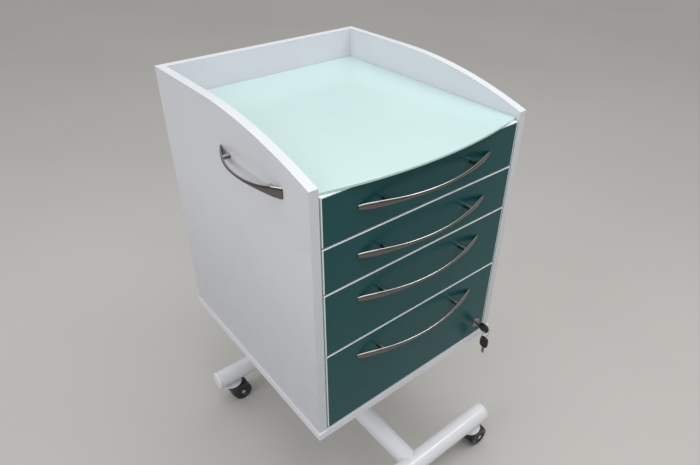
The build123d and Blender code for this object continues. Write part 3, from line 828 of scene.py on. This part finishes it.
def lock_barrel():
    """The flanged barrel, bored for the plug and dished round it."""
    low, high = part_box("lock_cylinder")
    flange = (high.x - low.x) / 2
    barrel = flange - LOCK_FLANGE_OVERHANG
    bore = PLUG_RADIUS + PLUG_GAP
    depth = high.y - low.y
    under = depth - LOCK_FLANGE_THICKNESS
    edge = 0.4 * MM
    soft = 0.2 * MM
    profile = [
        (bore, 0), (barrel - edge, 0), (barrel, edge), (barrel, under), (flange - soft, under),
        (flange, under + soft), (flange, depth - 0.9 * MM), (flange - 0.35 * MM, depth - 0.3 * MM),
        (flange - 1.0 * MM, depth), (PLUG_RADIUS + 1.9 * MM, depth),
        (PLUG_RADIUS + 1.3 * MM, depth - PLUG_SINK), (bore, depth - PLUG_SINK),
    ]
    shape = Shape()
    place = ((low.x + high.x) / 2, high.y, (low.z + high.z) / 2)
    shape.lathe(place, LOCK_AXIS, profile, 72, ring=True)
    show("lock_barrel", shape, "nickel", "drawer_4", ["lock_cylinder"])


def lock_plug():
    """The plug with its keyway, and the cam on its back end."""
    low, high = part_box("lock_cylinder")
    _, plug_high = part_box("lock_plug_and_cam")
    x = (low.x + high.x) / 2
    z = (low.z + high.z) / 2
    face = low.y + PLUG_SINK
    cam_y = (plug_high.y - CAM_THICKNESS, plug_high.y)
    edge = 0.4 * MM
    angles = [2 * pi * k / 56 for k in range(56)]

    def circle(radius, y):
        return [(x + radius * cos(a), y, z + radius * sin(a)) for a in angles]

    def keyway(y):
        """A rectangle, with one point in each of the circle's directions."""
        points = []
        for angle in angles:
            across, up = cos(angle), sin(angle)
            scale = min(KEYWAY_HALF / max(abs(across), 1e-6), KEYWAY_HALF_HEIGHT / max(abs(up), 1e-6))
            points.append((x + scale * across, y, z + scale * up))
        return points

    shape = Shape()
    rings = [circle(PLUG_RADIUS, cam_y[0]), circle(PLUG_RADIUS, face + edge)]
    rings += [circle(PLUG_RADIUS - edge, face), keyway(face), keyway(face + KEYWAY_DEPTH)]
    shape.loft(rings)
    bend = [pi / 2 + pi * k / 12 for k in range(13)]
    outline = [(x + CAM_HALF * cos(a), z + CAM_HALF * sin(a)) for a in bend]
    outline += [(plug_high.x - CAM_CORNER, z - CAM_HALF), (plug_high.x, z - CAM_HALF + CAM_CORNER)]
    outline += [(plug_high.x, z + CAM_HALF - CAM_CORNER), (plug_high.x - CAM_CORNER, z + CAM_HALF)]
    shape.prism([[(px, y, pz) for px, pz in outline] for y in cam_y], 0.35 * MM)
    show("lock_plug_and_cam_turned", shape, "nickel", "lock_plug", ["lock_plug_and_cam"])


def key_head(shape, origin, along, side, length, width, thick, hole):
    """A moulded key head: rounded plate with a recessed field on both faces and a ring hole.

    It starts at origin and runs along; hole is the hole's distance from origin and its radius.
    """
    across = along.cross(side)
    steps = 64
    corner = 0.4 * width
    hole_at, hole_radius = hole

    def rim(inset):
        points = []
        half = width / 2 - inset
        low, high = inset, length - inset
        r = max(corner - inset, 0.3 * MM)
        for cx, cy, start in (
            (high - r, half - r, 0), (low + r, half - r, pi / 2),
            (low + r, -half + r, pi), (high - r, -half + r, 3 * pi / 2),
        ):
            for k in range(steps // 4):
                angle = start + pi / 2 * k / (steps // 4 - 1)
                points.append((cx + r * cos(angle), cy + r * sin(angle)))
        return points

    def circle(radius):
        angles = (2 * pi * (k + 0.5) / steps for k in range(steps))
        return [(hole_at + radius * cos(a), radius * sin(a)) for a in angles]

    def level(points, height):
        return [origin + along * u + across * v + side * height for u, v in points]

    half = thick / 2
    soft = KEY_HEAD_ROUND
    turns = [pi / 2 * k / 5 for k in range(6)]
    upper = [level(rim(soft * (1 - cos(a))), half - soft + soft * sin(a)) for a in turns]
    upper += [level(rim(soft + 0.9 * MM), half), level(rim(soft + 1.3 * MM), half - KEY_RECESS)]
    upper += [level(circle(hole_radius + 1.5 * MM), half - KEY_RECESS)]
    upper += [level(circle(hole_radius + 1.2 * MM), half), level(circle(hole_radius + 0.3 * MM), half)]
    upper += [level(circle(hole_radius), half - 0.3 * MM)]
    lower = [[point - side * (2 * (point - origin).dot(side)) for point in ring] for ring in upper]
    shape.loft(upper + list(reversed(lower)), closed=True)


def key_blade(shape, origin, along, side, reach, width, thick):
    """A flat blade with a bevelled tip and cuts along one edge, starting at origin."""
    across = along.cross(side)
    lower = [(0.0, -width / 2)]
    for index in range(int(reach / KEY_TOOTH) - 2):
        start = (index + 1) * KEY_TOOTH
        cut = KEY_CUTS[index % len(KEY_CUTS)] * MM
        lower += [(start + 0.25 * KEY_TOOTH, -width / 2 + cut), (start + 0.75 * KEY_TOOTH, -width / 2 + cut)]
        lower += [(start + KEY_TOOTH, -width / 2 + 0.3 * MM)]
    tip = [(reach - 1.5 * MM, -width / 2 + 1.5 * MM), (reach, -0.6 * MM), (reach, 0.6 * MM)]
    upper = [(reach - 2.4 * MM, width / 2), (0.0, width / 2)]
    faces = [
        [origin + along * u + across * v + side * height for u, v in lower + tip + upper]
        for height in (-thick / 2, thick / 2)
    ]
    shape.prism(faces, 0.15 * MM, 1)


def keys():
    low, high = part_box("key")
    spare_low, spare_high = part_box("spare_key")
    ring_low, ring_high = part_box("key_ring")
    lock_low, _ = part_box("lock_cylinder")
    x = (low.x + high.x) / 2
    thick = high.x - low.x
    width = high.z - low.z
    outward, downward, side = Vector((0, -1, 0)), Vector((0, 0, -1)), Vector((1, 0, 0))

    shape = Shape()
    start = Vector((x, low.y + KEY_HEAD, (low.z + high.z) / 2))
    hole = (KEY_HEAD - KEY_HOLE_INSET, KEY_HOLE_RADIUS)
    key_head(shape, start, outward, side, KEY_HEAD, width, thick, hole)
    show("key_head", shape, "black_key_plastic", "lock_plug", ["key"])
    shape = Shape()
    neck = start + outward * KEY_NECK
    reach = lock_low.y - start.y + KEY_NECK + KEY_IN_LOCK
    key_blade(shape, neck, -outward, side, reach, KEY_BLADE_WIDTH - 0.4 * MM, KEY_BLADE_THICKNESS)
    show("key_blade", shape, "nickel", "lock_plug", ["key"])

    shape = Shape()
    top = Vector((x, (spare_low.y + spare_high.y) / 2, spare_high.z - SPARE_HEAD))
    hole = (SPARE_HEAD - KEY_HOLE_INSET, KEY_HOLE_RADIUS)
    key_head(shape, top, -downward, side, SPARE_HEAD, width, thick, hole)
    show("spare_key_head", shape, "black_key_plastic", "hanging_keys", ["spare_key"])
    shape = Shape()
    neck = top - downward * KEY_NECK
    reach = top.z - spare_low.z + KEY_NECK
    key_blade(shape, neck, downward, side, reach, KEY_BLADE_WIDTH, KEY_BLADE_THICKNESS)
    show("spare_key_blade", shape, "nickel", "hanging_keys", ["spare_key"])

    shape = Shape()
    wire = (ring_high.y - ring_low.y) / 4
    centre = (ring_low + ring_high) / 2
    radius = (ring_high.x - ring_low.x) / 2 - wire
    path = []
    for k in range(RING_POINTS):
        turns = RING_TURNS * k / (RING_POINTS - 1)
        lean = wire * max(-1.0, min(1.0, 6 * (turns - RING_TURNS / 2)))
        path.append(centre + Vector((radius * cos(2 * pi * turns), lean, radius * sin(2 * pi * turns))))
    shape.tube(path, wire, 12)
    show("split_ring", shape, "nickel", "hanging_keys", ["key_ring"])


# ============ H base
WELD = 1.5 * MM
WELD_RIPPLE = 0.09
TUBE_WALL = 2.0 * MM
TUBE_END_CHAMFER = 0.5 * MM
CAP_PLUG = 10 * MM                  # how far a cap's plug goes into its tube
CAP_CORNER = 4.5 * MM
CAP_SEAM = 0.35 * MM
BASE_SCREW_HEAD = 5.5 * MM
BASE_SCREW_SHANK = (2.5 * MM, 16 * MM)
PLATE_ROUND = 0.6 * MM
PLATE_RIM = 90 * MM                 # the plate's edges beyond this, from its middle, are its rim


def tube_axis():
    low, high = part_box("front_cross_tube")
    return (low.z + high.z) / 2, (high.z - low.z) / 2


def weld_beads():
    """Beads where the spine meets the cross tubes, round the column's foot and round its head."""
    axis_z, radius = tube_axis()
    shape = Shape()

    def bead(path):
        shape.tube(path, WELD, 10, closed=True, ripple=WELD_RIPPLE)

    for node, inwards in (("front_cross_tube", 1), ("rear_cross_tube", -1)):
        low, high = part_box(node)
        y = (low.y + high.y) / 2
        turns = [2 * pi * k / 160 for k in range(160)]
        bead([
            (radius * cos(a), y + inwards * abs(radius * cos(a)), axis_z + radius * sin(a)) for a in turns
        ])
    low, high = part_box("support_column")
    column = (high.x - low.x) / 2
    edge = asin(radius / column)
    path = []
    for end in (1, -1):
        for k in range(41):
            angle = end * pi / 2 - edge + 2 * edge * k / 40
            x, y = column * cos(angle), column * sin(angle)
            path.append((x, y, axis_z + sqrt(max(radius**2 - x**2, 0))))
        corner = column * cos(edge)
        for k in range(1, 16):
            path.append((-end * radius, end * corner * (1 - 2 * k / 16), axis_z))
    bead(path)
    plate_low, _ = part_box("column_plate")
    turns = [2 * pi * k / 120 for k in range(120)]
    bead([(column * cos(a), column * sin(a), plate_low.z) for a in turns])
    show("weld_beads", shape, "white_powder_coat", "cabinet")


def cross_tubes():
    axis_z, radius = tube_axis()
    bore = radius - TUBE_WALL
    for node in ("front_cross_tube", "rear_cross_tube"):
        low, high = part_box(node)
        length = high.x - low.x
        inner = radius - TUBE_END_CHAMFER
        profile = [(bore, 0), (inner, 0), (radius, TUBE_END_CHAMFER), (radius, length / 2)]
        profile += [(radius, length - TUBE_END_CHAMFER), (inner, length), (bore, length)]
        shape = Shape()
        shape.lathe((low.x, (low.y + high.y) / 2, axis_z), (1, 0, 0), profile, 96, ring=True)
        show(node + "_turned", shape, "white_powder_coat", "cabinet", [node])


def tube_caps():
    axis_z, radius = tube_axis()
    bore = radius - TUBE_WALL
    low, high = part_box("tube_end_caps")
    tube_low, tube_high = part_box("front_cross_tube")
    thick = tube_low.x - low.x
    profile = [(0, -CAP_PLUG), (bore - 0.3 * MM, -CAP_PLUG), (bore, -CAP_PLUG + 1 * MM), (bore, CAP_SEAM)]
    profile += [(radius - CAP_SEAM, CAP_SEAM), (radius, 2 * CAP_SEAM)]
    for k in range(9):
        angle = pi / 2 * k / 8
        out = CAP_CORNER * cos(angle) - CAP_CORNER
        up = CAP_CORNER * sin(angle) - CAP_CORNER
        profile.append((radius + out, thick + up))
    profile.append((0, thick))
    shape = Shape()
    for y in (low.y + radius, high.y - radius):
        for side, x in ((-1, tube_low.x), (1, tube_high.x)):
            shape.lathe((x, y, axis_z), (side, 0, 0), profile, 96)
    show("tube_caps", shape, "white_cap_plastic", "cabinet", ["tube_end_caps"])


def base_fixings():
    plate_low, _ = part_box("column_plate")
    low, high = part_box("base_screws")
    height = plate_low.z - low.z
    head = BASE_SCREW_HEAD
    shape = Shape()
    for x in (low.x + head, high.x - head):
        for y in (low.y + head, high.y - head):
            cross_screw(shape, (x, y, plate_low.z), (0, 0, -1), head, height, *BASE_SCREW_SHANK)
    show("base_screw_heads", shape, "zinc_steel", "cabinet", ["base_screws"])

    def rim(edge):
        place = edge.verts[0].co
        return max(abs(place.x), abs(place.y)) > PLATE_RIM

    refine("column_plate", PLATE_ROUND, 2, rim)
    refine("lock_strike_plate", 0.3 * MM)


def h_base():
    cross_tubes()
    tube_caps()
    weld_beads()
    base_fixings()


# ============ castors
HOOD_OUTER = 29.5 * MM
HOOD_INNER = 26.5 * MM
HOOD_HALF = 21.5 * MM
HOOD_BACK = 15.0 * MM
WEB_HALF = 3.5 * MM
HOOD_TIP = 1.4 * MM                 # the cover's rounded ends
WEB_ARC = 27.6 * MM
WEB_ROUND = 21 * MM
AXLE_OFFSET = 20 * MM               # from the stem's axis
AXLE_HEIGHT = 25 * MM
AXLE_HALF = 23 * MM
TREAD_ROUND = 3.0 * MM
WHEEL_BORE = 3.0 * MM
WHEEL_FACES = (4.3 * MM, 22 * MM)   # from the middle between the two wheels
# a wheel's outer face from the tread inwards, and a swivel socket from below: (radius, depth or height)
WHEEL_DISH = (
    (17.6, 0.0), (17.0, 0.5), (16.4, 0.5), (15.8, 0.0), (15.2, 0.3), (13.6, 2.1), (12.6, 2.5), (9.2, 2.5),
    (8.4, 2.3), (7.6, 0.7), (7.0, 0.2), (6.4, 0.0), (3.0, 0.0),
)
SOCKET = (
    (4.05, 46.0), (8.0, 46.0), (9.5, 47.5), (9.5, 55.0), (9.9, 57.0), (9.9, 60.6), (9.4, 61.3), (8.6, 61.6),
    (4.6, 61.6), (4.05, 61.0),
)


def wheel_profile(radius, width):
    """Profile of one wheel from its inner to its outer face, with a dished hub, and its wear."""
    corner = TREAD_ROUND
    profile = [(WHEEL_BORE, 0), (radius - corner, 0)]
    wear = [0.0, 0.2]
    for k in range(1, 7):
        angle = pi / 2 * k / 6
        profile.append((radius - corner + corner * sin(angle), corner - corner * cos(angle)))
        wear.append(0.4 + 0.6 * k / 6)
    profile.append((radius, width / 2))
    wear.append(1.0)
    for k in range(7):
        angle = pi / 2 * k / 6
        profile.append((radius - corner + corner * cos(angle), width - corner + corner * sin(angle)))
        wear.append(1.0 - 0.7 * k / 6)
    profile += [(place * MM, width - depth * MM) for place, depth in WHEEL_DISH]
    wear += [0.15] * len(WHEEL_DISH)
    return profile, wear


def castor_cover(shape, axle_x, y, axle_z):
    """Curved cover over both wheels."""
    thick = HOOD_OUTER - HOOD_INNER
    middle = (HOOD_OUTER + HOOD_INNER) / 2
    first, last = pi, pi / 2 - asin(HOOD_BACK / HOOD_OUTER)
    stations = 44
    turns = [2 * pi * k / 40 for k in range(40)]
    rings = []
    for index in range(stations + 1):
        share = index / stations
        angle = first + (last - first) * share
        end = min(share, 1 - share) * abs(last - first) * middle / HOOD_TIP
        squeeze = sqrt(1 - (1 - min(1.0, end)) ** 2) * 0.55 + 0.45
        ring = []
        for turn in turns:
            away = copysign(abs(cos(turn)) ** 0.45, cos(turn)) * thick / 2 * squeeze
            across = copysign(abs(sin(turn)) ** 0.16, sin(turn)) * (HOOD_HALF - 0.4 * MM * (1 - squeeze))
            crown = -0.9 * MM * (across / HOOD_HALF) ** 6
            distance = middle + away + (crown if away > 0 else 0)
            ring.append((axle_x + distance * cos(angle), y + across, axle_z + distance * sin(angle)))
        rings.append(ring)
    shape.loft(rings)


def castor_hood(x, y):
    """Cover over both wheels, web between them, and the swivel socket."""
    axle_x, axle_z = x + AXLE_OFFSET, AXLE_HEIGHT
    shape = Shape()
    castor_cover(shape, axle_x, y, axle_z)
    corners = [(WEB_ARC, pi / 2 + pi / 2 * k / 24) for k in range(25)]
    corners += [(WEB_ROUND, pi + 1.5 * pi * k / 36) for k in range(37)]
    outline = [(axle_x + radius * cos(a), axle_z + radius * sin(a)) for radius, a in corners]
    faces = [[(px, y + offset, pz) for px, pz in outline] for offset in (-WEB_HALF, WEB_HALF)]
    shape.prism(faces, 0.5 * MM, 2, lambda edge: abs(edge.verts[0].co.y - edge.verts[1].co.y) < 1e-6)
    socket = [(radius * MM, height * MM) for radius, height in SOCKET]
    shape.lathe((x, y, 0), (0, 0, 1), socket, 56, ring=True)
    return shape


def castors():
    gap, outer = WHEEL_FACES
    for corner in ("front_left", "front_right", "rear_left", "rear_right"):
        node = f"castor_{corner}_wheels"
        low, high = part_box(node)
        y = (low.y + high.y) / 2
        axle_x, axle_z = (low.x + high.x) / 2, (low.z + high.z) / 2
        profile, wear = wheel_profile((high.z - low.z) / 2, outer - gap)
        shape = Shape()
        for way in (-1, 1):
            shape.lathe((axle_x, y + way * gap, axle_z), (0, way, 0), profile, 88, wear, ring=True)
        show(f"castor_{corner}_wheel_pair", shape, "black_wheel_plastic", BODY_OF[node], [node])
        shape = Shape()
        profile = [(0, -AXLE_HALF), (3.9 * MM, -AXLE_HALF), (5.1 * MM, -AXLE_HALF + 0.35 * MM)]
        profile += [(5.5 * MM, -AXLE_HALF + 1 * MM), (2.95 * MM, -AXLE_HALF + 1 * MM)]
        profile += [(size, -height) for size, height in reversed(profile)]
        shape.lathe((axle_x, y, axle_z), (0, 1, 0), profile, 40)
        show(f"castor_{corner}_axle", shape, "zinc_steel", BODY_OF[node], [node])
        node = f"castor_{corner}_housing"
        hood = castor_hood(axle_x - AXLE_OFFSET, y)
        show(f"castor_{corner}_hood", hood, "black_castor_plastic", BODY_OF[node], [node])


def plain_materials():
    """Gives each CAD node that still shows its procedural material."""
    for node, piece in frame["nodes"].items():
        if not piece.hide_render:
            piece.material_slots[0].material = MATERIALS[SLOT_OF[node]]


carcass()
handles()
drawers()
slides()
lock_barrel()
lock_plug()
keys()
h_base()
castors()
plain_materials()


# ============ stage
FLOOR_REACH = 14.0


def floor():
    mesh = bpy.data.meshes.new("floor")
    corners = [(FLOOR_REACH * x, FLOOR_REACH * y, 0) for x, y in ((-1, -1), (1, -1), (1, 1), (-1, 1))]
    mesh.from_pydata(corners, [], [(0, 1, 2, 3)])
    piece = bpy.data.objects.new("floor", mesh)
    bpy.context.scene.collection.objects.link(piece)
    s = Shader("floor", Specular_IOR_Level=0.3)
    s.colour(s.mottled(FLOOR, 0.96, 0.8, low=0.35))
    s.rough(s.spread(s.noise(4.0, 3.0), 0.3, 0.7, 0.55, 0.65))
    mesh.materials.append(s.material)


def soft_light(name, place, target, size, power, colour):
    light = bpy.data.lights.new(name, "AREA")
    light.shape = "RECTANGLE"
    light.size, light.size_y = size
    light.energy = power
    light.color = colour
    lamp = bpy.data.objects.new(name, light)
    bpy.context.scene.collection.objects.link(lamp)
    lamp.location = place
    lamp.rotation_euler = (Vector(target) - Vector(place)).to_track_quat("-Z", "Y").to_euler()


def sky():
    world = bpy.data.worlds.new("studio")
    bpy.context.scene.world = world
    world.use_nodes = True
    nodes = world.node_tree.nodes
    links = world.node_tree.links
    coords = nodes.new("ShaderNodeTexCoord")
    split = nodes.new("ShaderNodeSeparateXYZ")
    ramp = nodes.new("ShaderNodeValToRGB")
    links.new(coords.outputs["Generated"], split.inputs[0])
    links.new(split.outputs["Z"], ramp.inputs[0])
    links.new(ramp.outputs[0], nodes["Background"].inputs["Color"])
    ramp.color_ramp.elements[0].color = (0.26, 0.27, 0.30, 1)
    ramp.color_ramp.elements[1].color = (1.0, 1.0, 1.0, 1)
    ramp.color_ramp.elements[1].position = 0.7
    nodes["Background"].inputs["Strength"].default_value = 0.70


def camera():
    data = bpy.data.cameras.new("camera")
    data.lens = CAMERA_LENS
    data.sensor_width = 36.0
    data.clip_start = 0.01
    data.clip_end = 100.0
    piece = bpy.data.objects.new("camera", data)
    bpy.context.scene.collection.objects.link(piece)
    piece.location = CAMERA_PLACE
    piece.rotation_euler = (pi / 2 - CAMERA_TILT, 0.0, -CAMERA_AZIMUTH)
    bpy.context.scene.camera = piece


floor()
sky()
soft_light("ceiling", (0.1, -0.5, 3.0), (0.0, 0.0, 0.6), (2.2, 2.2), 33.5, (1.0, 0.998, 0.99))
soft_light("window", (-3.0, -0.1, 2.1), (0.0, 0.0, 0.6), (1.6, 1.6), 28, (0.94, 0.98, 1.0))
soft_light("panel", (1.4, -1.1, 2.6), (0.0, -0.3, 0.7), (0.8, 0.8), 8, (1.0, 1.0, 1.0))
soft_light("front fill", (-0.6, -3.0, 2.0), (0.0, 0.0, 0.6), (1.4, 1.4), 7.5, (0.96, 0.99, 1.0))
camera()
bpy.context.scene.view_settings.view_transform = "Standard"
